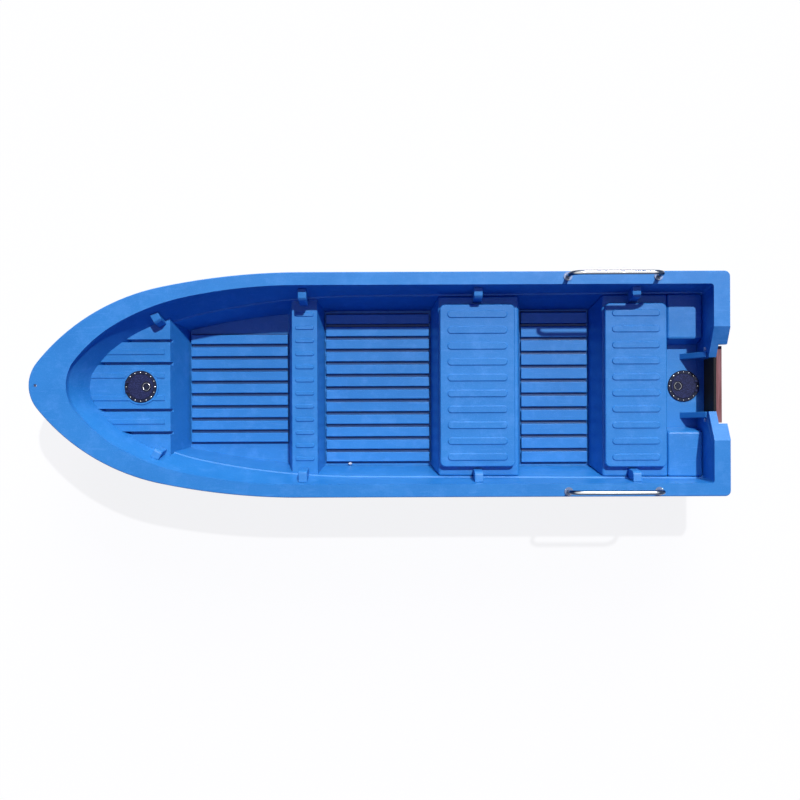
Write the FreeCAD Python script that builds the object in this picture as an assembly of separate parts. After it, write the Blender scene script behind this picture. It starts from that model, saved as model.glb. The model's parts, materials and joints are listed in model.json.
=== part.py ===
import FreeCAD, Part
import math
import os
from FreeCAD import Vector

# Open fishing boat of rotomoulded polyethylene with a square stern for a small outboard motor.
# Millimetres. +X points to the bow, +Y to port and +Z up. The origin is under the middle of
# the boat's outer box, on the ground that the three runners of the hull stand on.

# Overall sizes
LENGTH = 4000.0
BEAM = 1290.0
RIM_Z = 500.0            # top of the gunwale rim, from the stern to the middle
SHEER_RISE = 40.0        # how much higher the rim is at the bow
SHEER_RUN = 1900.0       # length over which it rises
RIM_DEPTH = 45.0         # height of the rolled edge of the rim
RIM_ROUND = 9.0          # bevel round the rim's outer top edge
RUNNER_DEPTH = 20.0      # the runners' height, so the hull's underside is at this level
BOTTOM_TOP_Z = 90.0      # top of the double bottom
SEAM = 0.3               # clearance between two pieces that lie on each other

BOW = LENGTH / 2
STERN = -LENGTH / 2
SIDE = BEAM / 2
ABOVE = RIM_Z + SHEER_RISE + 60.0    # a level above everything moulded

# Levels of what stands inside
LEDGE_Z = BOTTOM_TOP_Z + 216.0       # seat boxes, side ledges and stern boxes
BOARD_THICK = 44.0
BOARD_Z = LEDGE_Z + BOARD_THICK      # top of the seat boards
THWART_Z = BOTTOM_TOP_Z + 200.0
DECK_Z = BOTTOM_TOP_Z + 260.0
WELL_Z = BOTTOM_TOP_Z + 115.0        # floor of the well between the two stern boxes

# Plan outlines. Each is a chain of tangent arcs from the bow tip, then a straight run aft.
# The chain turns at these headings, in degrees from the centreline.
HEADINGS = (90.0, 52.0, 30.0, 12.0, 0.0)
# Levels of the outer skin under the rim, from the top down. Insets are from the overall sizes.
# The last three radii are scaled together so that the chain ends at the level's half-breadth.
# z, bow inset, side inset, stern inset, widening aft, radii of tip, shoulder, cheek and run
UNDER_RIM = (70.0, 25.0, 50.0, 0.0, 195.0, 1100.0, 1250.0, 4000.0)
SKIN_LEVELS = (
    (ABOVE,) + UNDER_RIM,
    (RIM_Z - RIM_DEPTH,) + UNDER_RIM,
    (LEDGE_Z - 16.0, 130.0, 62.0, 50.0, 0.0, 185.0, 1020.0, 1160.0, 4000.0),
    (BOTTOM_TOP_Z, 280.0, 112.0, 55.0, 0.0, 170.0, 900.0, 1120.0, 4000.0),
    (RUNNER_DEPTH, 430.0, 160.0, 62.0, 0.0, 160.0, 760.0, 1100.0, 4000.0),
)
# Levels of the open inside, from the top down, with the same columns. The two close levels
# make the narrow step that runs round the walls at the height of the seat boxes.
RIM_INSIDE = (210.0, 74.0, 94.0, 0.0, 240.0, 835.0, 1315.0, 3054.0)
INSIDE_LEVELS = (
    (ABOVE,) + RIM_INSIDE,
    (RIM_Z,) + RIM_INSIDE,
    (LEDGE_Z + 4.0, 312.0, 108.0, 101.0, 14.0, 187.0, 650.0, 1355.0, 4445.0),
    (LEDGE_Z, 319.0, 116.0, 102.0, 14.0, 184.0, 645.0, 1350.0, 4440.0),
    (BOTTOM_TOP_Z, 440.0, 173.0, 112.0, 6.0, 160.0, 800.0, 680.0, 4437.0),
)
RIM_OUTLINE = (0.0, 0.0, 0.0, 0.0, 211.0, 1172.0, 1224.0, 3867.0)
RIM_CORNER = 32.0        # radius of the rim's stern corners
INSIDE_CORNER = 17.0     # radius of the inside's stern corners

# Hull bottom
RUNNER_SPACING = 300.0
RUNNER_WIDTH = 90.0
RUNNER_DRAFT = 12.0
RUNNER_FORE = BOW - 820.0
RUNNER_AFT = STERN + 130.0

# Transom and motor place
TRANSOM_SPLIT = STERN + 130.0        # the topsides end here and the transom piece starts
NOTCH_Z = RIM_Z - 105.0              # level of the lowered edge that the motor clamps on
NOTCH_HALF = 158.0       # half-width of the lowered edge
SHOULDER_HALF = 326.0    # half-width where the slopes reach the rim
OVERHANG_HALF = 229.0    # the rim's overhang stops here, beside the motor board
TRANSOM_FACE = STERN + UNDER_RIM[2]
RECESS_WALL = 6.0        # wall left behind the pad
PAD_THICK = 8.0
MOTOR_BOARD_THICK = 32.0
MOTOR_BOARD_HALF = OVERHANG_HALF - 6.0
MOTOR_BOARD_HEIGHT = 215.0
BOLT_Y = 207.0
BOLT_Z = NOTCH_Z - 46.0
BOLT_HEAD_R = 11.0
BOLT_HEAD_T = 6.0
BOLT_R = 4.0
BOLT_BITE = 22.0         # how deep a bolt goes into the motor board

# Bow deck
DECK_EDGE_X = BOW - 763.0            # top edge of the bulkhead
DECK_FOOT_X = DECK_EDGE_X - 68.0     # foot of the bulkhead
GROOVE_INNER = 137.0     # the grooves' distances from the centreline
GROOVE_OUTER = 270.0
GROOVE_WIDTH = 17.0
GROOVE_DEPTH = 38.0
BAND_INNER = 66.0        # the raised bands' distances from the centreline
BAND_OUTER = 204.0
BAND_WIDTH = 32.0
BAND_HEIGHT = 3.0
BAND_AFT = DECK_EDGE_X + 34.0
LOCKER_R = 112.0
LOCKER_DEPTH = 190.0
DECK_THICK = 15.0

# Seats along the boat: x of the fore foot, fore top, aft top and aft foot
THWART_X = (567.0, 529.0, 380.0, 347.0)
MID_BOX_X = (-294.0, -337.0, -811.0, -842.0)
WELL_FORE = STERN + 310.0
AFT_BOX_X = (STERN + 743.0, STERN + 694.0, WELL_FORE, WELL_FORE)
# name, fore end, aft end, gap to the rim's outer edge, rib pitch, rib length, rib width
SEAT_BOARDS = (
    ("mid_seat_board", MID_BOX_X[1] - 8.0, MID_BOX_X[2] + 26.0, 169.0, 93.0, 353.0, 43.0),
    ("aft_seat_board", AFT_BOX_X[1] - 8.0, WELL_FORE + 14.0, 165.0, 94.0, 283.0, 40.0),
)
BOARD_CORNER = 30.0
BOARD_BEVEL = 5.0
THWART_RIB_INSET = 205.0             # from the outermost ribs to the rim's outer edge
THWART_RIB_PITCH = 77.6
THWART_RIB = (113.0, 26.0)           # length, width
RIB_INSET = 30.0
RIB_HEIGHT = 6.0
RIB_DRAFT = 4.0

# Floor slats. Each panel lies between the feet of the pieces before and behind it.
PLATE = 6.0
SLAT_HEIGHT = 20.0
SLAT_GAP = 15.0
SLAT_DRAFT = 3.0
FLOOR_MARGIN = 7.0
# name, foot before it, foot behind it, gap to the rim's outer edge, wished pitch across
BAYS = (
    ("floor_fore", DECK_FOOT_X, THWART_X[0], 309.0, 74.6),
    ("floor_mid", THWART_X[3], MID_BOX_X[0], 187.0, 76.4),
    ("floor_aft", MID_BOX_X[3], AFT_BOX_X[0], 179.0, 84.7),
)

# Stern
WELL_HALF = 275.0
WELL_DRAFT = 30.0
KNEE_Y = 176.0
KNEE_THICK = 34.0
KNEE_FOOT_X = STERN + 210.0
KNEE_TOP_Z = NOTCH_Z - 22.0

# Moulded lugs on the inside of the topsides
# x, gap from crest to the rim's outer edge, level of the foot, turn in degrees
LUGS = (
    (DECK_EDGE_X + 54.0, 265.0, DECK_Z, 27.0),
    ((THWART_X[1] + THWART_X[2]) / 2, 140.0, THWART_Z, 0.0),
    ((SEAT_BOARDS[0][1] + SEAT_BOARDS[0][2]) / 2, 130.0, LEDGE_Z, 0.0),
    ((SEAT_BOARDS[1][1] + SEAT_BOARDS[1][2]) / 2 + 15.0, 130.0, LEDGE_Z, 0.0),
)
LUG_WIDTH = 50.0
LUG_CREST_Z = RIM_Z - 60.0
LUG_SLOPE = 0.1          # rise of the lug's top towards the wall
LUG_FOOT = 27.0          # how far the foot stands out from the crest
LUG_NOSE = (13.0, 14.0)  # bevel under the crest: out, down
LUG_BACK = 130.0

# Round hatches: the ring lies on its deck and the lid turns on two knuckles
RING_R = 94.0
RING_HEIGHT = 8.0
RING_BEVEL = 2.5
LID_R = 74.0
LID_GAP = 1.5
LID_SEAT = 2.5
LID_THICK = 7.0
LID_BEVEL = 1.2
HATCH_HOLE_R = 62.0
NECK_WALL = 4.0
NECK_DEPTH = 14.0
HINGE_OUT = 84.0         # from the hatch's centre to the hinge axis
HINGE_UP = 14.0          # from the deck to the hinge axis
HINGE_Y = 22.0
KNUCKLE_R = 5.0
KNUCKLE_WIDTH = 12.0
KNUCKLE_GAP = 0.3
PIN_R = 2.0
PIN_CLEARANCE = 0.1
LATCH_R = 31.0
LATCH_OFF = 35.0
LATCH_DEPTH = 3.0
PULL_R = 22.0
PULL_WIDTH = 5.0
# name, x of the centre, deck level, direction of the hinge along x
HATCHES = (
    ("bow_hatch", DECK_EDGE_X + 173.0, DECK_Z, 1.0),
    ("stern_hatch", STERN + 188.0, WELL_Z, -1.0),
)

# Grab rails
RAIL_Y = SIDE - 30.0
RAIL_AFT = STERN + 410.0
RAIL_FORE = RAIL_AFT + 518.0
RAIL_R = 12.5
RAIL_RISE = 140.0
RAIL_BEND = 60.0
RAIL_SPIGOT = 12.0       # how deep the tube goes into the rim
RAIL_FLANGE_R = 25.0
RAIL_FLANGE_T = 5.0

# Bow eye and drain plug
EYE_X = BOW - 38.0
EYE_R = 9.0
PLUG_X = MID_BOX_X[0] + 490.0
PLUG_Y = SIDE - 184.0
PLUG_R = 9.0
PLUG_HEIGHT = 6.0
BAIL_WIDTH = 22.0
BAIL_RISE = 11.0
BAIL_THICK = 3.5


def box(x0, x1, y0, y1, z0, z1):
    return Part.makeBox(x1 - x0, y1 - y0, z1 - z0, Vector(x0, y0, z0))


def prism_y(points_xz, half):
    """A polygon given in x and z, extruded across the boat from -half to half."""
    wire = Part.makePolygon([Vector(x, -half, z) for x, z in points_xz + points_xz[:1]])
    return Part.Face(wire).extrude(Vector(0, 2 * half, 0))


def prism_x(points_yz, x0, x1):
    """A polygon given in y and z, extruded along the boat."""
    wire = Part.makePolygon([Vector(x0, y, z) for y, z in points_yz + points_yz[:1]])
    return Part.Face(wire).extrude(Vector(x1 - x0, 0, 0))


def outline(level, gap, corner):
    """Closed plan outline at one level, set in by gap from what the level says."""
    z, bow, side, stern, widening, tip_r, *other_radii = level
    half = SIDE - side
    turns = [math.radians(h) for h in HEADINGS]
    reaches = [math.cos(b) - math.cos(a) for a, b in zip(turns, turns[1:])]
    fit = (half - tip_r * reaches[0]) / sum(r * c for r, c in zip(other_radii, reaches[1:]))
    radii = [tip_r - gap] + [fit * r - gap for r in other_radii]
    x, y = BOW - bow - gap, 0.0
    port = []
    for r, a, b in zip(radii, turns, turns[1:]):
        ends = []
        for h in ((a + b) / 2, b):
            ends.append((x - r * (math.sin(a) - math.sin(h)), y + r * (math.cos(h) - math.cos(a))))
        port.append(((x, y), ends[0], ends[1]))
        x, y = ends[1]
    aft = STERN + stern + gap
    wide = y + widening
    slant = corner * (1 - math.sqrt(0.5))
    port.append(((x, y), (aft + corner, wide)))
    port.append(((aft + corner, wide), (aft + slant, wide - slant), (aft, wide - corner)))
    edges = [edge(points, z) for points in port]
    edges.append(edge(((aft, wide - corner), (aft, corner - wide)), z))
    edges += [edge([(px, -py) for px, py in reversed(points)], z) for points in reversed(port)]
    return Part.Wire(edges)


def edge(points, z):
    """A straight edge through two plan points, or an arc through three."""
    ends = [Vector(x, y, z) for x, y in points]
    if len(ends) == 2:
        return Part.LineSegment(*ends).toShape()
    return Part.Arc(*ends).toShape()


def form(levels, gap, corner):
    """Solid between outlines, ruled from each level to the next."""
    return Part.makeLoft([outline(level, gap, corner) for level in levels], True, True)


def rounded_plate(x0, x1, half, corner, z0, z1):
    """Flat plate with round corners in plan."""
    slant = corner * (1 - math.sqrt(0.5))
    points = []
    for sx, sy, cx in ((1, 1, x1), (-1, 1, x0), (-1, -1, x0), (1, -1, x1)):
        first = (cx, sy * (half - corner))
        middle = (cx - sx * slant, sy * (half - slant))
        last = (cx - sx * corner, sy * half)
        points.append((first, middle, last) if sx == sy else (last, middle, first))
    edges = []
    for this, following in zip(points, points[1:] + points[:1]):
        edges.append(edge(this, z0))
        edges.append(edge((this[2], following[0]), z0))
    return Part.Face(Part.Wire(edges)).extrude(Vector(0, 0, z1 - z0))


def stadium(x, y, length, width, z):
    """Outline of a long rib with round ends, lying along the boat."""
    r = width / 2
    a, b = x - length / 2 + r, x + length / 2 - r
    return Part.Wire([
        edge(((a, y - r), (b, y - r)), z),
        edge(((b, y - r), (b + r, y), (b, y + r)), z),
        edge(((b, y + r), (a, y + r)), z),
        edge(((a, y + r), (a - r, y), (a, y - r)), z),
    ])


def ribs_across(x, reach, pitch, length, width, z):
    """Ribs with sloping sides, side by side across the boat, as many as fit within reach."""
    sink = 1.0
    count = int((2 * reach - width) / pitch) + 1
    first = -(count - 1) * pitch / 2
    slope = RIB_DRAFT / RIB_HEIGHT
    ribs = []
    for y in [first + i * pitch for i in range(count)]:
        low = stadium(x, y, length + 2 * slope * sink, width + 2 * slope * sink, z - sink)
        top = stadium(x, y, length - 2 * RIB_DRAFT, width - 2 * RIB_DRAFT, z + RIB_HEIGHT)
        ribs.append(Part.makeLoft([low, top], True, True))
    return ribs


def sheer_band(drop_top, drop_bottom):
    """Everything between two curves that follow the sheer, across the whole beam."""
    start = BOW - SHEER_RUN
    margin = 50.0
    bow_x = BOW + margin
    rise = SHEER_RISE * (bow_x - start) ** 2 / SHEER_RUN ** 2
    mid_x = (start + bow_x) / 2
    mid_rise = rise / 4

    def curve(drop):
        base = RIM_Z - drop
        line = Part.LineSegment(Vector(STERN - margin, 0, base), Vector(start, 0, base)).toShape()
        arc = Part.Arc(Vector(start, 0, base), Vector(mid_x, 0, base + mid_rise),
                       Vector(bow_x, 0, base + rise)).toShape()
        return line, arc

    top_line, top_arc = curve(drop_top)
    low_line, low_arc = curve(drop_bottom)
    ends = [Part.LineSegment(a.Vertexes[-1].Point, b.Vertexes[-1].Point).toShape()
            for a, b in ((top_arc, low_arc),)]
    ends.append(Part.LineSegment(top_line.Vertexes[0].Point, low_line.Vertexes[0].Point).toShape())
    wire = Part.Wire(Part.__sortEdges__([top_line, top_arc, low_line, low_arc] + ends))
    face = Part.Face(wire)
    face.translate(Vector(0, -BEAM, 0))
    return face.extrude(Vector(0, 2 * BEAM, 0))


def insert(profile_xz):
    """What fills the inside between the profile's points, up against the topsides."""
    return prism_y(profile_xz, SIDE).common(inside_fitted)


def mirrored(shape):
    return shape.mirror(Vector(0, 0, 0), Vector(0, 1, 0))


def rod_x(radius, x0, x1, y, z):
    return Part.makeCylinder(radius, x1 - x0, Vector(x0, y, z), Vector(1, 0, 0))


def hull_bottom():
    body = skin.common(box(STERN, BOW, -SIDE, SIDE, 0, BOTTOM_TOP_Z - SEAM))
    half = RUNNER_WIDTH / 2
    sink = 1.0
    for y in (-RUNNER_SPACING, 0.0, RUNNER_SPACING):
        profile = [(y - half + RUNNER_DRAFT, 0), (y + half - RUNNER_DRAFT, 0),
                   (y + half, RUNNER_DEPTH + sink), (y - half, RUNNER_DEPTH + sink)]
        body = body.fuse(prism_x(profile, RUNNER_AFT, RUNNER_FORE))
    return body.removeSplitter()


def topside():
    """The port double wall, from the transom piece to the middle of the stem."""
    wall = skin.cut(inside).common(sheer_band(RIM_DEPTH + SEAM, RIM_Z))
    return wall.common(box(TRANSOM_SPLIT + SEAM, BOW, SEAM / 2, SIDE, BOTTOM_TOP_Z, ABOVE))


def stern_profile(drop):
    """Top line of the transom in y and z, lowered by drop, from port to starboard."""
    port = [(2 * SIDE, RIM_Z - drop), (SHOULDER_HALF, RIM_Z - drop), (NOTCH_HALF, NOTCH_Z - drop)]
    return port + [(-y, z) for y, z in reversed(port)]


def transom():
    wall = skin.cut(inside)
    below = prism_x(stern_profile(RIM_DEPTH + SEAM) + [(-2 * SIDE, 0), (2 * SIDE, 0)],
                    STERN, TRANSOM_SPLIT)
    middle = box(STERN, TRANSOM_SPLIT, -NOTCH_HALF + SEAM, NOTCH_HALF - SEAM,
                 BOTTOM_TOP_Z, NOTCH_Z - PAD_THICK - SEAM)
    body = wall.common(below.fuse(middle))
    body = body.common(box(STERN, TRANSOM_SPLIT, -SIDE, SIDE, BOTTOM_TOP_Z, ABOVE))
    body = body.cut(box(TRANSOM_FACE + RECESS_WALL, TRANSOM_SPLIT, -NOTCH_HALF, NOTCH_HALF, WELL_Z, ABOVE))
    for y in (-BOLT_Y, BOLT_Y):
        body = body.cut(rod_x(BOLT_R + SEAM, STERN, TRANSOM_SPLIT, y, BOLT_Z))
    return body


def gunwale_rim():
    outer = Part.Face(outline((0.0,) + RIM_OUTLINE, 0.0, RIM_CORNER)).extrude(Vector(0, 0, ABOVE))
    ring = outer.common(sheer_band(0.0, RIM_DEPTH))
    top_edges = [e for e in ring.Edges if e.BoundBox.ZMin > RIM_Z - 1]
    ring = ring.makeChamfer(RIM_ROUND / 2, top_edges).cut(inside)
    inner_edge = STERN + RIM_INSIDE[2]
    ring = ring.cut(box(STERN, inner_edge + INSIDE_CORNER, -SHOULDER_HALF, SHOULDER_HALF, 0, ABOVE))
    profile = stern_profile(0.0)[1:3] + list(reversed(stern_profile(RIM_DEPTH)[1:3]))
    slope = prism_x(profile, TRANSOM_FACE, inner_edge)
    lip = prism_x(profile, STERN, TRANSOM_FACE)
    lip = lip.cut(box(STERN, TRANSOM_FACE, 0, OVERHANG_HALF, 0, ABOVE))
    for part in (slope, lip):
        ring = ring.fuse(part).fuse(mirrored(part))
    for y in (-RAIL_Y, RAIL_Y):
        for x in (RAIL_FORE, RAIL_AFT):
            ring = ring.cut(Part.makeCylinder(RAIL_R + SEAM, RAIL_SPIGOT + 1, Vector(x, y, RIM_Z - RAIL_SPIGOT)))
    eye = Part.makeCylinder(EYE_R, ABOVE, Vector(EYE_X, 0, 0))
    return ring.cut(eye).removeSplitter()


def bow_deck():
    low = BOTTOM_TOP_Z
    body = insert([(DECK_FOOT_X, low), (DECK_EDGE_X, DECK_Z), (BOW, DECK_Z), (BOW, low)])
    raised = insert([(BAND_AFT, DECK_Z - 1), (BAND_AFT, DECK_Z + BAND_HEIGHT),
                     (BOW, DECK_Z + BAND_HEIGHT), (BOW, DECK_Z - 1)])
    for y in (-BAND_OUTER, -BAND_INNER, BAND_INNER, BAND_OUTER):
        body = body.fuse(raised.common(box(0, BOW, y - BAND_WIDTH / 2, y + BAND_WIDTH / 2, 0, ABOVE)))
    for y in (-GROOVE_OUTER, -GROOVE_INNER, GROOVE_INNER, GROOVE_OUTER):
        body = body.cut(box(0, BOW, y - GROOVE_WIDTH / 2, y + GROOVE_WIDTH / 2, DECK_Z - GROOVE_DEPTH, ABOVE))
    x = HATCHES[0][1]
    under_deck = DECK_Z - DECK_THICK
    for radius, low, high in ((HATCH_HOLE_R + NECK_WALL + SEAM, under_deck - 1, ABOVE),
                              (RING_R + SEAM, DECK_Z, ABOVE),
                              (LOCKER_R, under_deck - LOCKER_DEPTH, under_deck)):
        body = body.cut(Part.makeCylinder(radius, high - low, Vector(x, 0, low)))
    return body.removeSplitter()


def floor_panel(fore_foot, aft_foot, inset, wished_pitch):
    """Thin plate with raised slats along the boat, from one comb-shaped section."""
    half = SIDE - inset
    count = round(2 * half / wished_pitch)
    pitch = 2 * half / count
    low, plate, top = BOTTOM_TOP_Z, BOTTOM_TOP_Z + PLATE, BOTTOM_TOP_Z + PLATE + SLAT_HEIGHT
    points = [(-half, low), (-half, plate)]
    for i in range(count):
        left = -half + i * pitch + SLAT_GAP / 2
        right = left + pitch - SLAT_GAP
        points += [(left, plate), (left + SLAT_DRAFT, top), (right - SLAT_DRAFT, top), (right, plate)]
    points += [(half, plate), (half, low)]
    return prism_x(points, aft_foot + FLOOR_MARGIN, fore_foot - FLOOR_MARGIN)


def seat_box(xs, top):
    fore_foot, fore_top, aft_top, aft_foot = xs
    return insert([(fore_foot, BOTTOM_TOP_Z), (fore_top, top), (aft_top, top), (aft_foot, BOTTOM_TOP_Z)])


def fore_thwart():
    body = seat_box(THWART_X, THWART_Z)
    middle = (THWART_X[1] + THWART_X[2]) / 2
    length, width = THWART_RIB
    for rib in ribs_across(middle, SIDE - THWART_RIB_INSET, THWART_RIB_PITCH, length, width, THWART_Z):
        body = body.fuse(rib)
    return body.removeSplitter()


def seat_board(fore, aft, inset, pitch, length, width):
    half = SIDE - inset
    board = rounded_plate(aft, fore, half, BOARD_CORNER, LEDGE_Z + SEAM, BOARD_Z)
    board = board.makeChamfer(BOARD_BEVEL, [e for e in board.Edges if e.BoundBox.ZMin > BOARD_Z - 1])
    for rib in ribs_across((fore + aft) / 2, half - RIB_INSET, pitch, length, width, BOARD_Z):
        board = board.fuse(rib)
    return board.removeSplitter()


def stern_box():
    """The port one of the two boxes beside the well."""
    fore = WELL_FORE - SEAM
    side = box(STERN, fore, WELL_HALF, SIDE, BOTTOM_TOP_Z, LEDGE_Z)
    slope = [(WELL_HALF - WELL_DRAFT, WELL_Z + SEAM), (WELL_HALF, LEDGE_Z),
             (WELL_HALF + 1, LEDGE_Z), (WELL_HALF + 1, WELL_Z + SEAM)]
    return side.fuse(prism_x(slope, STERN, fore)).common(inside_fitted).removeSplitter()


def stern_well_floor():
    half = WELL_HALF - SEAM
    body = box(STERN, WELL_FORE - SEAM, -half, half, BOTTOM_TOP_Z, WELL_Z).common(inside_fitted)
    bottom = BOTTOM_TOP_Z + DECK_THICK
    return body.cut(Part.makeCylinder(HATCH_HOLE_R + NECK_WALL + SEAM, WELL_Z - bottom,
                                      Vector(HATCHES[1][1], 0, bottom)))


def motor_knee():
    """Triangular knee of the port side between the well floor and the transom."""
    back = STERN + RIM_INSIDE[2] - 10
    points = [(KNEE_FOOT_X, WELL_Z + SEAM), (back, WELL_Z + SEAM), (back, KNEE_TOP_Z),
              (inside_aft(KNEE_TOP_Z) + 6, KNEE_TOP_Z)]
    knee = prism_y(points, KNEE_THICK / 2)
    knee.translate(Vector(0, KNEE_Y, 0))
    return knee.common(inside_fitted)


def motor_board():
    face = TRANSOM_FACE - SEAM
    board = box(face - MOTOR_BOARD_THICK, face, -MOTOR_BOARD_HALF, MOTOR_BOARD_HALF,
                NOTCH_Z - MOTOR_BOARD_HEIGHT, NOTCH_Z)
    for y in (-BOLT_Y, BOLT_Y):
        board = board.cut(rod_x(BOLT_R + SEAM, face - BOLT_BITE, face, y, BOLT_Z))
    return board


def motor_pad():
    """Pad on the inside of the lowered edge, folded over its top."""
    wall = TRANSOM_FACE + RECESS_WALL + SEAM
    points = [(wall, WELL_Z + SEAM), (wall + PAD_THICK, WELL_Z + SEAM), (wall + PAD_THICK, NOTCH_Z),
              (TRANSOM_FACE + SEAM, NOTCH_Z), (TRANSOM_FACE + SEAM, NOTCH_Z - PAD_THICK),
              (wall, NOTCH_Z - PAD_THICK)]
    return prism_y(points, NOTCH_HALF - SEAM)


def inside_aft(z):
    """How far aft the sloped inner face of the transom lies at a level above the ledge."""
    high, low = INSIDE_LEVELS[1], INSIDE_LEVELS[2]
    share = (z - low[0]) / (high[0] - low[0])
    return STERN + low[3] + share * (high[3] - low[3])


def transom_bolts():
    """Bolts that go from inside through the transom into the motor board."""
    start = TRANSOM_FACE - BOLT_BITE + 1
    inner = inside_aft(BOLT_Z - BOLT_HEAD_R) + SEAM
    bolts = []
    for y in (-BOLT_Y, BOLT_Y):
        shank = rod_x(BOLT_R, start, inner + 1, y, BOLT_Z)
        bolts.append(shank.fuse(rod_x(BOLT_HEAD_R, inner, inner + BOLT_HEAD_T, y, BOLT_Z)).removeSplitter())
    return Part.makeCompound(bolts)


def lugs():
    """The port row of lugs. Each stands on the piece under it and leans on the topside."""
    row = []
    out, down = LUG_NOSE
    for x, inset, foot_z, turn in LUGS:
        base = foot_z + SEAM
        points = [(-LUG_FOOT, base), (LUG_BACK, base), (LUG_BACK, LUG_CREST_Z + LUG_BACK * LUG_SLOPE),
                  (0, LUG_CREST_Z), (-out, LUG_CREST_Z - down)]
        lug = prism_x(points, -LUG_WIDTH / 2, LUG_WIDTH / 2)
        lug.rotate(Vector(0, 0, 0), Vector(0, 0, 1), -turn)
        lug.translate(Vector(x, SIDE - inset, 0))
        row.append(lug.common(inside_fitted))
    return Part.makeCompound(row)


def at_hatch(shape, x, deck_z, side):
    """Puts a hatch piece, modelled at the origin with its hinge forward, in its place."""
    if side < 0:
        shape.rotate(Vector(0, 0, 0), Vector(0, 0, 1), 180)
    shape.translate(Vector(x, 0, deck_z))
    return shape


def disc(radius, z0, z1, x=0.0):
    return Part.makeCylinder(radius, z1 - z0, Vector(x, 0, z0))


def barrel(radius, y0, y1):
    return Part.makeCylinder(radius, y1 - y0, Vector(HINGE_OUT, y0, HINGE_UP), Vector(0, 1, 0))


def hatch_ring():
    ring = disc(RING_R, SEAM, RING_HEIGHT)
    ring = ring.makeChamfer(RING_BEVEL, [e for e in ring.Edges if e.BoundBox.ZMin > RING_HEIGHT - 1])
    ring = ring.fuse(disc(HATCH_HOLE_R + NECK_WALL, -NECK_DEPTH, SEAM + 1))
    ring = ring.cut(disc(LID_R + LID_GAP, LID_SEAT, RING_HEIGHT))
    ring = ring.cut(disc(HATCH_HOLE_R, -NECK_DEPTH, RING_HEIGHT))
    width = KNUCKLE_WIDTH - KNUCKLE_GAP
    for side in (-1, 1):
        inner = side * HINGE_Y - (KNUCKLE_WIDTH if side > 0 else 0)
        y0 = inner if side > 0 else inner + KNUCKLE_GAP
        post = Part.makeBox(2 * KNUCKLE_R, width, HINGE_UP - RING_HEIGHT + 2,
                            Vector(HINGE_OUT - KNUCKLE_R, y0, RING_HEIGHT - 2))
        post = post.fuse(barrel(KNUCKLE_R, y0, y0 + width))
        pin_from = inner if side > 0 else inner - KNUCKLE_WIDTH
        ring = ring.fuse(post.fuse(barrel(PIN_R, pin_from, pin_from + 2 * KNUCKLE_WIDTH)))
    return ring.removeSplitter()


def hatch_lid():
    low = LID_SEAT + SEAM
    top = low + LID_THICK
    lid = disc(LID_R, low, top)
    lid = lid.makeChamfer(LID_BEVEL, [e for e in lid.Edges if e.BoundBox.ZMin > top - 1])
    lid = lid.cut(disc(LATCH_R, top - LATCH_DEPTH, top, -LATCH_OFF))
    for side in (-1, 1):
        y0 = side * HINGE_Y - (0 if side > 0 else KNUCKLE_WIDTH)
        arm = Part.makeBox(HINGE_OUT - LID_R + 8, KNUCKLE_WIDTH, HINGE_UP - top + 3,
                           Vector(LID_R - 8, y0, top - 1))
        arm = arm.fuse(barrel(KNUCKLE_R, y0, y0 + KNUCKLE_WIDTH))
        lid = lid.fuse(arm.cut(barrel(PIN_R + PIN_CLEARANCE, y0, y0 + KNUCKLE_WIDTH)))
    return lid.removeSplitter()


def hatch_latch():
    base = LID_SEAT + 2 * SEAM + LID_THICK - LATCH_DEPTH
    plate = disc(LATCH_R - 2 * SEAM, base, base + 1.5, -LATCH_OFF)
    pull = disc(PULL_R, base + 1, base + 3.2, -LATCH_OFF)
    return plate.fuse(pull.cut(disc(PULL_R - PULL_WIDTH, base, base + 5, -LATCH_OFF))).removeSplitter()


def grab_rail(y):
    """A bent tube on two round feet, screwed to the rim."""
    foot = RIM_Z + SEAM
    start = RIM_Z + SEAM - RAIL_SPIGOT
    top = RIM_Z + RAIL_RISE
    lean = RAIL_BEND * (1 - math.sqrt(0.5))
    runs = (
        ((RAIL_FORE, start), (RAIL_FORE, top - RAIL_BEND)),
        ((RAIL_FORE, top - RAIL_BEND), (RAIL_FORE - lean, top - lean), (RAIL_FORE - RAIL_BEND, top)),
        ((RAIL_FORE - RAIL_BEND, top), (RAIL_AFT + RAIL_BEND, top)),
        ((RAIL_AFT + RAIL_BEND, top), (RAIL_AFT + lean, top - lean), (RAIL_AFT, top - RAIL_BEND)),
        ((RAIL_AFT, top - RAIL_BEND), (RAIL_AFT, start)),
    )
    edges = []
    for run in runs:
        ends = [Vector(x, y, z) for x, z in run]
        edges.append(Part.LineSegment(*ends).toShape() if len(ends) == 2 else Part.Arc(*ends).toShape())
    section = Part.Wire(Part.Circle(Vector(RAIL_FORE, y, start), Vector(0, 0, 1), RAIL_R).toShape())
    rail = Part.Wire(edges).makePipeShell([section], True, True)
    for x in (RAIL_FORE, RAIL_AFT):
        rail = rail.fuse(Part.makeCylinder(RAIL_FLANGE_R, RAIL_FLANGE_T, Vector(x, y, foot)))
    return rail.removeSplitter()


def drain_plug():
    """A round plug in the outermost groove, with an upright bail to pull it by."""
    z = BOTTOM_TOP_Z + PLATE + SEAM
    plug = Part.makeCylinder(PLUG_R, PLUG_HEIGHT, Vector(PLUG_X, PLUG_Y, z))
    half, top = BAIL_WIDTH / 2, z + PLUG_HEIGHT + BAIL_RISE
    bail = box(PLUG_X - half, PLUG_X + half, PLUG_Y - BAIL_THICK / 2, PLUG_Y + BAIL_THICK / 2, z + 2, top)
    inner = half - BAIL_THICK
    return plug.fuse(bail.cut(box(PLUG_X - inner, PLUG_X + inner, PLUG_Y - PLUG_R, PLUG_Y + PLUG_R,
                                  z + PLUG_HEIGHT, top - BAIL_THICK))).removeSplitter()


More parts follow.
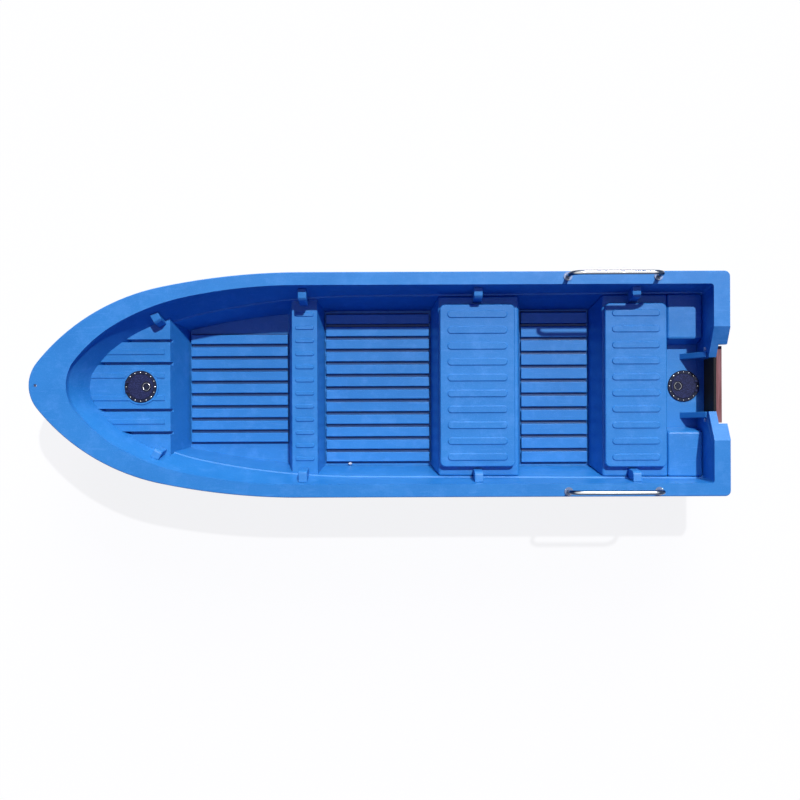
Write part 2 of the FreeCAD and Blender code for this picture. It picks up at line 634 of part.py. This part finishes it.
skin = form(SKIN_LEVELS, 0.0, RIM_CORNER)
inside = form(INSIDE_LEVELS, 0.0, INSIDE_CORNER)
inside_fitted = form(INSIDE_LEVELS, SEAM, INSIDE_CORNER)

pieces = {
    "hull_bottom": hull_bottom(),
    "transom": transom(),
    "gunwale_rim": gunwale_rim(),
    "bow_deck": bow_deck(),
    "fore_thwart": fore_thwart(),
    "mid_seat_box": seat_box(MID_BOX_X, LEDGE_Z),
    "aft_seat_box": seat_box(AFT_BOX_X, LEDGE_Z),
    "stern_well_floor": stern_well_floor(),
    "motor_board_outer": motor_board(),
    "motor_pad_inner": motor_pad(),
    "transom_bolts": transom_bolts(),
    "drain_plug": drain_plug(),
    "grab_rail_port": grab_rail(RAIL_Y),
    "grab_rail_starboard": grab_rail(-RAIL_Y),
}
for name, maker in (("topside", topside), ("stern_box", stern_box), ("motor_knee", motor_knee),
                    ("seat_lugs", lugs)):
    pieces[name + "_port"] = maker()
    pieces[name + "_starboard"] = mirrored(pieces[name + "_port"])
for name, *sizes in BAYS:
    pieces[name] = floor_panel(*sizes)
for name, *sizes in SEAT_BOARDS:
    pieces[name] = seat_board(*sizes)
for name, x, deck_z, side in HATCHES:
    for part, maker in (("ring", hatch_ring), ("lid", hatch_lid), ("latch", hatch_latch)):
        pieces[name + "_" + part] = at_hatch(maker(), x, deck_z, side)

os.makedirs("parts", exist_ok=True)
for name, shape in pieces.items():
    shape.exportStep("parts/" + name + ".step")
    print(name, len(shape.Solids), "solids,", round(shape.Volume / 1e6, 2), "dm3,",
          "valid" if shape.isValid() else "not valid")
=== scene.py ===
import json
import math
import bmesh
import bpy
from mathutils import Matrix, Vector
from mathutils.bvhtree import BVHTree


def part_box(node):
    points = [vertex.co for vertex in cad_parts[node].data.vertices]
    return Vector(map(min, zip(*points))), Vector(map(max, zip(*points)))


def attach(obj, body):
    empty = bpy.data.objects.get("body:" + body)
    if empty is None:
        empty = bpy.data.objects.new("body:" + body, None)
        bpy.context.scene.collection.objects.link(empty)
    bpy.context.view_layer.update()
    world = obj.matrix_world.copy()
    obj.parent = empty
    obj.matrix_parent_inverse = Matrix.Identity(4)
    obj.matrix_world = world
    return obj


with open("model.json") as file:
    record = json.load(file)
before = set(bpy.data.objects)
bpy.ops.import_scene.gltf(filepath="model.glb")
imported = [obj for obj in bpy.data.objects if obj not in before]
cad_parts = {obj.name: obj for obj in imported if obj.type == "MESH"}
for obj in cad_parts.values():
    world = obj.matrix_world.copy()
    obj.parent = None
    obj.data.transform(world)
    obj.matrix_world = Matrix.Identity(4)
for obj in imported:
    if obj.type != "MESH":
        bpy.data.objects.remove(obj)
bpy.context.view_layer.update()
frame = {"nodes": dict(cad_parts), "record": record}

scene = bpy.context.scene
nodes = frame["nodes"]
UP = Vector((0.0, 0.0, 1.0))

# Camera: straight above the boat, as in the photograph
CAMERA_PLACE = (-0.1086, 0.295, 6.212)
CAMERA_YAW = math.pi - math.radians(0.22)
LENS = 44.98
SENSOR_WIDTH = 36.0
SHIFT_Y = 0.0452
CLIP_END = 100.0

camera_data = bpy.data.cameras.new("camera")
camera_data.lens = LENS
camera_data.sensor_width = SENSOR_WIDTH
camera_data.shift_y = SHIFT_Y
camera_data.clip_end = CLIP_END
camera = bpy.data.objects.new("camera", camera_data)
camera.location = CAMERA_PLACE
camera.rotation_euler = (0.0, 0.0, CAMERA_YAW)
scene.collection.objects.link(camera)
scene.camera = camera
scene.view_settings.view_transform = "Standard"

# Light: a sun from the stern on the starboard side, a wide low fill and an even pale room
# name, direction in which it travels, strength, angle in degrees
SUNS = (
    ("sun", (0.25, 0.56, -1.0), 2.95, 1.5),
    ("fill", (0.10, 1.0, -0.45), 1.6, 40.0),
)
ROOM_COLOUR = (0.06, 0.07, 1.0)
ROOM_STRENGTH = 0.20
for name, travel, strength, angle in SUNS:
    sun_data = bpy.data.lights.new(name, "SUN")
    sun_data.energy = strength
    sun_data.angle = math.radians(angle)
    sun = bpy.data.objects.new(name, sun_data)
    sun.rotation_euler = Vector(travel).to_track_quat("-Z", "Y").to_euler()
    scene.collection.objects.link(sun)

# Sockets of a Mix node that mixes colours
MIX_FACTOR = 0
MIX_A = 6
MIX_B = 7
MIX_RESULT = 2


class Tree:
    """Short names for building a node tree."""

    def __init__(self, tree):
        self.tree = tree
        tree.nodes.clear()

    def add(self, kind, **settings):
        """A node of that kind. A setting is one of its properties, or else an input's value."""
        node = self.tree.nodes.new("ShaderNode" + kind)
        for key, value in settings.items():
            if hasattr(node, key):
                setattr(node, key, value)
            else:
                node.inputs[key.replace("_", " ")].default_value = value
        return node

    def link(self, out, into):
        self.tree.links.new(out, into)

    def ramp(self, source, stops):
        """A colour ramp. Each stop is a place and a grey value or a colour."""
        node = self.add("ValToRGB")
        elements = node.color_ramp.elements
        while len(elements) < len(stops):
            elements.new(0.5)
        for element, (place, value) in zip(elements, stops):
            colour = (value, value, value) if isinstance(value, float) else value
            element.position = place
            element.color = (*colour, 1.0)
        self.link(source, node.inputs["Fac"])
        return node.outputs["Color"]

    def noise(self, vector, scale, detail, roughness):
        """A noise pattern's value. Scale counts its waves in a metre, where the place isn't stretched."""
        node = self.add("TexNoise", Scale=scale, Detail=detail, Roughness=roughness)
        self.link(vector, node.inputs["Vector"])
        return node.outputs["Fac"]

    def mix(self, factor, a, b):
        """A colour between the socket a and b, which is a socket or a plain colour."""
        node = self.add("Mix", data_type="RGBA")
        self.link(factor, node.inputs[MIX_FACTOR])
        self.link(a, node.inputs[MIX_A])
        if isinstance(b, bpy.types.NodeSocket):
            self.link(b, node.inputs[MIX_B])
        else:
            node.inputs[MIX_B].default_value = (*b, 1.0)
        return node.outputs[MIX_RESULT]

    def place(self, stretch=(1.0, 1.0, 1.0)):
        """Places on the object in metres. Each number divides a pattern's length along its axis."""
        node = self.add("Mapping")
        node.inputs["Scale"].default_value = stretch
        self.link(self.add("TexCoord").outputs["Object"], node.inputs["Vector"])
        return node.outputs["Vector"]

    def height(self):
        """The height above the ground."""
        node = self.add("SeparateXYZ")
        self.link(self.add("TexCoord").outputs["Object"], node.inputs[0])
        return node.outputs["Z"]

    def bump(self, height, strength, distance, below=None):
        """Normals of a relief up to that distance high, laid over the normals of a coarser one."""
        node = self.add("Bump", Strength=strength, Distance=distance)
        self.link(height, node.inputs["Height"])
        if below is not None:
            self.link(below, node.inputs["Normal"])
        return node.outputs["Normal"]

    def seen_directly(self):
        """1 where the camera sees a surface, also in a reflection or through glass."""
        path = self.add("LightPath")
        seen = path.outputs["Is Camera Ray"]
        for ray in ("Is Glossy Ray", "Is Transmission Ray"):
            either = self.add("Math", operation="MAXIMUM")
            self.link(seen, either.inputs[0])
            self.link(path.outputs[ray], either.inputs[1])
            seen = either.outputs[0]
        return seen

    def choose(self, factor, a, b):
        """The first shader where the factor is 0, the second where it is 1."""
        node = self.add("MixShader")
        for socket, value in zip(node.inputs, (factor, a, b)):
            self.link(value, socket)
        return node.outputs[0]


world = bpy.data.worlds.new("room")
scene.world = world
world.use_nodes = True
room = Tree(world.node_tree)
lit = room.add("Background", Color=(*ROOM_COLOUR, 1.0), Strength=ROOM_STRENGTH)
white = room.add("Background", Color=(1.0, 1.0, 1.0, 1.0), Strength=1.0)
shown = room.choose(room.seen_directly(), lit.outputs[0], white.outputs[0])
room.link(shown, room.add("OutputWorld").inputs["Surface"])

# Heights and depths of the solids that finishes and small pieces follow, in metres
SLAT_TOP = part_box("floor_mid")[1][2]
SLAT_HEIGHT = 0.020
GROOVE_BOTTOM = SLAT_TOP - SLAT_HEIGHT
# Painted shade in the floor's grooves: the height above their bottoms that it fades over, and its share
# at the bottoms
GROOVE_SHADE_RISE = 0.016
GROOVE_SHADE_SHARE = 0.80
RIM_TOP = 0.5
SEAT_GAP = 0.0003
FOOT_PLATE = 0.005
FOOT_TOP = RIM_TOP + SEAT_GAP + FOOT_PLATE
NECK_DEPTH = 0.014

# Colours, linear
BLUE_DEEP = (0.018, 0.196, 0.53)
BLUE_LIGHT = (0.026, 0.228, 0.59)
# Lighter blues of the patches and scuffs: partly fading and wear, partly painted sheen
BLUE_FADED_AND_SHEEN = (0.085, 0.32, 0.74)
BLUE_SCUFFED_AND_SHEEN = (0.12, 0.37, 0.80)
BLUE_SPECKLED = (0.11, 0.37, 0.82)
# a dark blue painted into the floor's grooves as shade
BLUE_GROOVE_SHADE = (0.006, 0.022, 0.105)
BLACK_DEEP = (0.006, 0.009, 0.026)
BLACK_LIGHT = (0.012, 0.016, 0.044)
# colours of the lids' grain: painted shade in its hollows, its own tone, and painted highlight on its
# crests
LID_HOLLOW_SHADE = (0.005, 0.008, 0.034)
LID_GRAIN = (0.014, 0.020, 0.082)
LID_CREST_HIGHLIGHT = (0.060, 0.075, 0.20)
PAD_DEEP = (0.006, 0.006, 0.007)
PAD_LIGHT = (0.016, 0.016, 0.018)
WOOD_PORE = (0.11, 0.038, 0.036)
WOOD_LATE = (0.27, 0.115, 0.115)
WOOD_EARLY = (0.40, 0.21, 0.215)
WOOD_STREAK = (0.20, 0.072, 0.066)
STEEL_LINE = (0.66, 0.67, 0.69)
STEEL_BRIGHT = (0.78, 0.79, 0.80)
# a dark blue painted into the steel's colour at grazing angles as a reflection
STEEL_PAINTED_REFLECTION = (0.035, 0.06, 0.12)
STEEL_DULL = (0.13, 0.17, 0.28)
WHITE_DULL = (0.70, 0.72, 0.75)
WHITE_BRIGHT = (0.82, 0.83, 0.84)
FLOOR_DULL = (0.93, 0.93, 0.93)
FLOOR_BRIGHT = (0.95, 0.95, 0.95)
FLOOR_GLOW = 0.88


def material(name, build, **settings):
    """A principled material. build adds its textures, and may return the surface to use instead."""
    made = bpy.data.materials.new(name)
    made.use_nodes = True
    tree = Tree(made.node_tree)
    shader = tree.add("BsdfPrincipled", **settings)
    surface = build(tree, shader) or shader.outputs[0]
    tree.link(surface, tree.add("OutputMaterial").inputs["Surface"])
    return made


def build_polyethylene(tree, shader):
    """Moulded blue plastic: clouded, lighter in patches and in scuffs along the boat that are partly wear
    and partly painted sheen, with a fine pebble.
    """
    place = tree.place()
    clouds = tree.noise(place, 3.0, 3.0, 0.6)
    tone = tree.ramp(clouds, ((0.3, BLUE_DEEP), (0.7, BLUE_LIGHT)))
    # Lighter patches and scuffs along the boat: partly wear, partly painted sheen
    patches = tree.ramp(tree.noise(place, 8.0, 6.0, 0.72), ((0.50, 0.0), (0.70, 0.40)))
    streaks = tree.noise(tree.place((6.0, 90.0, 90.0)), 1.0, 4.0, 0.65)
    scuffs_and_sheen = tree.ramp(streaks, ((0.58, 0.0), (0.74, 0.28)))
    worn_and_sheen = tree.mix(scuffs_and_sheen, tree.mix(patches, tone, BLUE_FADED_AND_SHEEN), BLUE_SCUFFED_AND_SHEEN)
    speckle = tree.noise(place, 190.0, 3.0, 0.7)
    colour = tree.mix(tree.ramp(speckle, ((0.52, 0.0), (0.74, 0.34))), worn_and_sheen, BLUE_SPECKLED)
    pebble = tree.noise(place, 420.0, 2.0, 0.5)
    waves = tree.bump(tree.noise(place, 14.0, 2.0, 0.5), 0.25, 0.004)
    coarse = tree.bump(speckle, 0.22, 0.0012, waves)
    tree.link(colour, shader.inputs["Base Color"])
    tree.link(tree.ramp(pebble, ((0.3, 0.32), (0.7, 0.44))), shader.inputs["Roughness"])
    tree.link(tree.bump(pebble, 0.25, 0.0004, coarse), shader.inputs["Normal"])


def build_slatted_floor(tree, shader):
    """The same polyethylene, with painted shade in the grooves, darkest at their bottoms."""
    build_polyethylene(tree, shader)
    # Painted shade: the colour darkens towards the bottoms of the grooves
    depth = tree.add("MapRange", From_Min=GROOVE_BOTTOM, From_Max=GROOVE_BOTTOM + GROOVE_SHADE_RISE,
                     To_Min=GROOVE_SHADE_SHARE, To_Max=0.0)
    tree.link(tree.height(), depth.inputs["Value"])
    unshaded = shader.inputs["Base Color"].links[0].from_socket
    tree.link(tree.mix(depth.outputs["Result"], unshaded, BLUE_GROOVE_SHADE), shader.inputs["Base Color"])


def build_black_plastic(tree, shader):
    place = tree.place()
    grain = tree.noise(place, 900.0, 2.0, 0.5)
    clouds = tree.noise(place, 40.0, 3.0, 0.6)
    tree.link(tree.ramp(clouds, ((0.3, BLACK_DEEP), (0.7, BLACK_LIGHT))), shader.inputs["Base Color"])
    tree.link(tree.ramp(grain, ((0.3, 0.38), (0.7, 0.55))), shader.inputs["Roughness"])
    tree.link(tree.bump(grain, 0.5, 0.0004), shader.inputs["Normal"])


def build_grained_lid(tree, shader):
    """The same black plastic with the coarse non-slip grain of the lids. Its colour follows the grain's
    relief: painted shade in the hollows and painted highlight on the crests.
    """
    grain = tree.noise(tree.place(), 230.0, 3.0, 0.7)
    colour = tree.ramp(grain, ((0.38, LID_HOLLOW_SHADE), (0.55, LID_GRAIN), (0.72, LID_CREST_HIGHLIGHT)))
    tree.link(colour, shader.inputs["Base Color"])
    tree.link(tree.ramp(grain, ((0.3, 0.42), (0.7, 0.62))), shader.inputs["Roughness"])
    tree.link(tree.bump(grain, 0.6, 0.0012), shader.inputs["Normal"])


def build_pad(tree, shader):
    grain = tree.noise(tree.place(), 700.0, 3.0, 0.6)
    tree.link(tree.ramp(grain, ((0.3, PAD_DEEP), (0.7, PAD_LIGHT))), shader.inputs["Base Color"])
    tree.link(tree.ramp(grain, ((0.3, 0.6), (0.7, 0.8))), shader.inputs["Roughness"])
    tree.link(tree.bump(grain, 0.6, 0.0005), shader.inputs["Normal"])


def build_wood(tree, shader):
    """Red-brown board, its fibres across the boat."""
    fibres = tree.noise(tree.place((160.0, 5.0, 160.0)), 1.0, 6.0, 0.7)
    broad = tree.noise(tree.place((22.0, 1.4, 22.0)), 1.0, 3.0, 0.5)
    grain = tree.ramp(fibres, ((0.34, WOOD_PORE), (0.52, WOOD_LATE), (0.70, WOOD_EARLY)))
    streaks = tree.ramp(broad, ((0.35, 0.0), (0.7, 0.5)))
    tree.link(tree.mix(streaks, grain, WOOD_STREAK), shader.inputs["Base Color"])
    tree.link(tree.ramp(fibres, ((0.3, 0.45), (0.7, 0.65))), shader.inputs["Roughness"])
    tree.link(tree.bump(fibres, 0.5, 0.0006), shader.inputs["Normal"])


def build_steel(tree, shader):
    """Polished steel. Where it turns away from the view its base colour darkens to a dark blue: a painted
    reflection of dark surroundings.
    """
    lines = tree.noise(tree.place((4.0, 260.0, 260.0)), 1.0, 3.0, 0.6)
    bright = tree.ramp(lines, ((0.3, STEEL_LINE), (0.7, STEEL_BRIGHT)))
    # Painted reflection: the colour darkens where the surface turns away from the view
    reflection_share = tree.ramp(tree.add("LayerWeight", Blend=0.5).outputs["Facing"], ((0.04, 0.0), (0.20, 1.0)))
    tree.link(tree.mix(reflection_share, bright, STEEL_PAINTED_REFLECTION), shader.inputs["Base Color"])
    tree.link(tree.ramp(lines, ((0.3, 0.10), (0.7, 0.20))), shader.inputs["Roughness"])


def build_rail(tree, shader):
    """The rails' steel: polished tube on foot plates that are dull and darker."""
    build_steel(tree, shader)
    plate = tree.add("Math", operation="LESS_THAN")
    plate.inputs[1].default_value = FOOT_TOP + SEAT_GAP
    tree.link(tree.height(), plate.inputs[0])
    for name, dull in (("Base Color", STEEL_DULL), ("Roughness", (0.5, 0.5, 0.5))):
        polished = shader.inputs[name].links[0].from_socket
        tree.link(tree.mix(plate.outputs[0], polished, dull), shader.inputs[name])


def build_white(tree, shader):
    clouds = tree.noise(tree.place(), 120.0, 3.0, 0.6)
    tree.link(tree.ramp(clouds, ((0.3, WHITE_DULL), (0.7, WHITE_BRIGHT))), shader.inputs["Base Color"])
    tree.link(tree.ramp(clouds, ((0.3, 0.3), (0.7, 0.45))), shader.inputs["Roughness"])


def build_floor(tree, shader):
    """A pale floor that keeps shadows, and that shows nearly white where it is seen."""
    grain = tree.noise(tree.place(), 60.0, 3.0, 0.6)
    tree.link(tree.ramp(grain, ((0.3, FLOOR_DULL), (0.7, FLOOR_BRIGHT))), shader.inputs["Base Color"])
    share = tree.add("Math", operation="MULTIPLY")
    share.inputs[1].default_value = FLOOR_GLOW
    tree.link(tree.seen_directly(), share.inputs[0])
    return tree.choose(share.outputs[0], shader.outputs[0], tree.add("Emission").outputs[0])


BLUE_GLOSS = 0.36
BLACK_GLOSS = 0.18
DULL_GLOSS = 0.2
MATERIALS = {
    "blue_polyethylene": material("blue_polyethylene", build_polyethylene, Specular_IOR_Level=BLUE_GLOSS),
    "black_plastic": material("black_plastic", build_black_plastic, Specular_IOR_Level=BLACK_GLOSS),
    "black_pad": material("black_pad", build_pad, Specular_IOR_Level=DULL_GLOSS),
    "wood_board": material("wood_board", build_wood, Specular_IOR_Level=DULL_GLOSS),
    "stainless_tube": material("stainless_tube", build_steel, Metallic=1.0),
    "white_plastic": material("white_plastic", build_white),
}
# Finishes that differ a little from their slot's, by a part of the node's name
VARIANTS = {
    "_lid": material("black_plastic_lid", build_grained_lid, Specular_IOR_Level=BLACK_GLOSS),
    "grab_rail": material("stainless_rail", build_rail, Metallic=1.0),
    "floor_": material("blue_polyethylene_floor", build_slatted_floor, Specular_IOR_Level=BLUE_GLOSS),
}

# The solids: their finish, and rounded edges
# Width and segments of the rounding, for the nodes that have hard moulded edges
ROUNDING = {
    "gunwale_rim": (0.010, 3), "bow_deck": (0.006, 3), "fore_thwart": (0.006, 3),
    "mid_seat_box": (0.014, 4), "aft_seat_box": (0.014, 4), "stern_box_port": (0.014, 4),
    "stern_box_starboard": (0.014, 4), "stern_well_floor": (0.004, 2), "motor_knee_port": (0.009, 3),
    "motor_knee_starboard": (0.009, 3), "seat_lugs_port": (0.009, 3), "seat_lugs_starboard": (0.009, 3),
    "floor_fore": (0.0055, 3), "floor_mid": (0.0055, 3), "floor_aft": (0.0055, 3),
    "mid_seat_board": (0.0035, 3), "aft_seat_board": (0.0035, 3), "transom": (0.007, 3),
    "motor_board_outer": (0.003, 2), "motor_pad_inner": (0.0015, 2),
}
# Points nearer than the gap are one. Edges that bend more than these angles are rounded or stay hard.
WELD_GAP = 0.00002
FLAT_ANGLE = math.radians(0.5)
ROUNDED_ANGLE = math.radians(28.0)
HARD_ANGLE = math.radians(24.0)
PIECE_HARD_ANGLE = math.radians(40.0)
NORMAL_WEIGHT = 60

slot_of = {part["node"]: part["material_slot"] for part in frame["record"]["subparts"]}
for name, node in nodes.items():
    finish = MATERIALS[slot_of[name]]
    for part_of_name, variant in VARIANTS.items():
        if part_of_name in name:
            finish = variant
    node.data.materials.clear()
    node.data.materials.append(finish)
    for polygon in node.data.polygons:
        polygon.use_smooth = True
    node.modifiers.new("weld", "WELD").merge_threshold = WELD_GAP
    if name in ROUNDING:
        flat = node.modifiers.new("flat", "DECIMATE")
        flat.decimate_type = "DISSOLVE"
        flat.angle_limit = FLAT_ANGLE
        bevel = node.modifiers.new("round", "BEVEL")
        bevel.width, bevel.segments = ROUNDING[name]
        bevel.limit_method = "ANGLE"
        bevel.angle_limit = ROUNDED_ANGLE
    else:
        node.modifiers.new("hard edges", "EDGE_SPLIT").split_angle = HARD_ANGLE
    normals = node.modifiers.new("normals", "WEIGHTED_NORMAL")
    normals.keep_sharp = True
    normals.weight = NORMAL_WEIGHT


class Shape:
    """Points and faces of one mesh."""

    def __init__(self):
        self.points = []
        self.faces = []

    def lathe(self, profile, place, axis=UP, segments=16, ring=False):
        """A profile of radius and height, turned round its axis. A ring's profile is closed."""
        turn = UP.rotation_difference(Vector(axis))
        start = len(self.points)
        rows = len(profile)
        for i in range(segments):
            angle = 2 * math.pi * i / segments
            for radius, height in profile:
                point = Vector((radius * math.cos(angle), radius * math.sin(angle), height))
                self.points.append(Vector(place) + turn @ point)
        for i in range(segments):
            a = start + i * rows
            b = start + (i + 1) % segments * rows
            for k in range(rows if ring else rows - 1):
                after = (k + 1) % rows
                self.faces.append((a + k, a + after, b + after, b + k))
        if not ring:
            for k in (0, rows - 1):
                self.faces.append(tuple(start + i * rows + k for i in range(segments)))

    def bar(self, aft, fore, y, half, draft, low, top):
        """A long flat bar. aft and fore give its ends' x on its starboard and port edges."""
        a = len(self.points)
        for z, inset in ((low, 0.0), (top, draft)):
            for x, side in ((aft[0], -1), (fore[0], -1), (fore[1], 1), (aft[1], 1)):
                self.points.append(Vector((x, y + side * (half - inset), z)))
        self.faces += [(a, a + 3, a + 2, a + 1), (a + 4, a + 5, a + 6, a + 7)]
        for i in range(4):
            j = (i + 1) % 4
            self.faces.append((a + i, a + j, a + 4 + j, a + 4 + i))

    def piece(self, name, slot, body, rounding=0.0):
        """Makes the mesh a piece that rides on a body."""
        mesh = bpy.data.meshes.new(name)
        mesh.from_pydata(self.points, [], self.faces)
        made = bmesh.new()
        made.from_mesh(mesh)
        bmesh.ops.recalc_face_normals(made, faces=made.faces)
        made.to_mesh(mesh)
        made.free()
        mesh.materials.append(MATERIALS[slot])
        for polygon in mesh.polygons:
            polygon.use_smooth = True
        obj = bpy.data.objects.new(name, mesh)
        scene.collection.objects.link(obj)
        if rounding:
            bevel = obj.modifiers.new("round", "BEVEL")
            bevel.width = rounding
            bevel.segments = 3
            bevel.limit_method = "ANGLE"
            obj.modifiers.new("normals", "WEIGHTED_NORMAL")
        else:
            obj.modifiers.new("hard edges", "EDGE_SPLIT").split_angle = PIECE_HARD_ANGLE
        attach(obj, body)


def on_circle(radius, angle):
    """A point on a circle round zero."""
    return radius * math.cos(angle), radius * math.sin(angle)


def screw_head(radius, rise):
    """Profile of a domed head with a round socket."""
    return ((0.26 * radius, 0.35 * rise), (0.30 * radius, 0.92 * rise), (0.62 * radius, 0.86 * rise),
            (0.90 * radius, 0.45 * rise), (radius, -0.2 * rise))


def hatch_place(hatch):
    """The x of a hatch's middle, and the height of the deck that it is set in."""
    low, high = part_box(hatch + "_ring")
    return (low[0] + high[0]) / 2, low[2] + NECK_DEPTH


# Hatches: screws round the ring, but none under the two knuckles, and a wire pull on the lid
# Heights are above the deck, and the knuckles' places and the latch's are from the hatch's middle
RING_TOP = 0.008
RING_SCREWS = 16
RING_SCREW = screw_head(0.0042, 0.0018)
SCREW_CIRCLE = 0.0845
KNUCKLE_X = 0.07
KNUCKLE_Y = (0.006, 0.038)
LATCH_OFF = 0.035
PULL_TOP = 0.0115
PULL_R = 0.0212
PULL_WIRE_R = 0.0016
PULL_SIDES = 8
PULL_TILT = 0.12
# hatch, lid's body, direction of the hinge along x
for hatch, body, hinge in (("bow_hatch", "bow_lid", 1), ("stern_hatch", "stern_lid", -1)):
    x, deck_z = hatch_place(hatch)
    screws = Shape()
    for i in range(RING_SCREWS):
        dx, dy = on_circle(SCREW_CIRCLE, 2 * math.pi * i / RING_SCREWS)
        under_knuckle = dx * hinge > KNUCKLE_X and KNUCKLE_Y[0] < abs(dy) < KNUCKLE_Y[1]
        if not under_knuckle:
            screws.lathe(RING_SCREW, (x + dx, dy, deck_z + RING_TOP), segments=12)
    screws.piece(hatch + "_screws", "stainless_tube", "hull")
    wire = [on_circle(PULL_WIRE_R, 2 * math.pi * k / PULL_SIDES) for k in range(PULL_SIDES)]
    pull = Shape()
    pull.lathe([(PULL_R + out, up) for out, up in wire], (x - hinge * LATCH_OFF, 0.0, deck_z + PULL_TOP),
               axis=(hinge * PULL_TILT, 0.0, 1.0), segments=32, ring=True)
    pull.piece(hatch + "_pull", "stainless_tube", body)

# Grab rails: three screws in each foot plate
FOOT_R = 0.025
FOOT_SCREWS = 3
FOOT_SCREW = screw_head(0.0030, 0.0012)
FOOT_SCREW_CIRCLE = 0.0195
for side in ("port", "starboard"):
    low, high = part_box("grab_rail_" + side)
    y = (low[1] + high[1]) / 2
    screws = Shape()
    for x in (low[0] + FOOT_R, high[0] - FOOT_R):
        for k in range(FOOT_SCREWS):
            dx, dy = on_circle(FOOT_SCREW_CIRCLE, math.pi / 2 + 2 * math.pi * k / FOOT_SCREWS)
            screws.lathe(FOOT_SCREW, (x + dx, y + dy, FOOT_TOP), segments=10)
    screws.piece("grab_rail_screws_" + side, "stainless_tube", "hull")

# Bow deck: raised bands with sloping edges, and the low boss round the hatch
# Aft, the bands start a little inside the deck's edge. Fore, they end at the hull's sides, found by rays.
HATCH_TO_EDGE = 0.173
BAND_Y = (-0.204, -0.066, 0.066, 0.204)
BAND_HALF = 0.0172
BAND_TOP = 0.0056
BAND_DRAFT = 0.004
BAND_AFT = 0.033
BAND_EDGE_R = 0.0012
WALL_GAP = 0.0006
RAY_RISE = 0.002
SUNK = 0.001
BOSS_R = 0.1065
BOSS_INNER_R = 0.0946
BOSS_DRAFT = 0.003


def topsides():
    """Both sides of the hull as one surface for rays."""
    points = []
    faces = []
    for name in ("topside_port", "topside_starboard"):
        start = len(points)
        mesh = nodes[name].data
        points += [vertex.co.copy() for vertex in mesh.vertices]
        faces += [[start + i for i in polygon.vertices] for polygon in mesh.polygons]
    return BVHTree.FromPolygons(points, faces)


hatch_x, deck_z = hatch_place("bow_hatch")
sides = topsides()
bands = Shape()
low, top = deck_z - SUNK, deck_z + BAND_TOP
for y in BAND_Y:
    edges = (y - BAND_HALF, y + BAND_HALF)
    starts = [Vector((hatch_x, edge, deck_z + RAY_RISE)) for edge in edges]
    fore = [sides.ray_cast(start, Vector((1, 0, 0)))[0].x - WALL_GAP for start in starts]
    aft = [hatch_x - HATCH_TO_EDGE + BAND_AFT] * 2
    if abs(y) < BOSS_R:
        reach = [math.sqrt(BOSS_R ** 2 - edge ** 2) for edge in edges]
        bands.bar(aft, [hatch_x - r for r in reach], y, BAND_HALF, BAND_DRAFT, low, top)
        aft = [hatch_x + r for r in reach]
    bands.bar(aft, fore, y, BAND_HALF, BAND_DRAFT, low, top)
bands.piece("bow_deck_bands", "blue_polyethylene", "hull", rounding=BAND_EDGE_R)
section = ((BOSS_INNER_R, -SUNK), (BOSS_INNER_R, BAND_TOP),
           (BOSS_R - BOSS_DRAFT, BAND_TOP), (BOSS_R + SUNK, -SUNK))
boss = Shape()
boss.lathe(section, (hatch_x, 0.0, deck_z), segments=64, ring=True)
boss.piece("bow_deck_boss", "blue_polyethylene", "hull")

# Floor
FLOOR_HALF = 30.0
corners = [(x * FLOOR_HALF, y * FLOOR_HALF, 0.0) for x, y in ((-1, -1), (1, -1), (1, 1), (-1, 1))]
floor_mesh = bpy.data.meshes.new("floor")
floor_mesh.from_pydata(corners, [], [(0, 1, 2, 3)])
floor_mesh.materials.append(material("floor", build_floor, Roughness=0.9, Specular_IOR_Level=0.1))
floor = bpy.data.objects.new("floor", floor_mesh)
scene.collection.objects.link(floor)
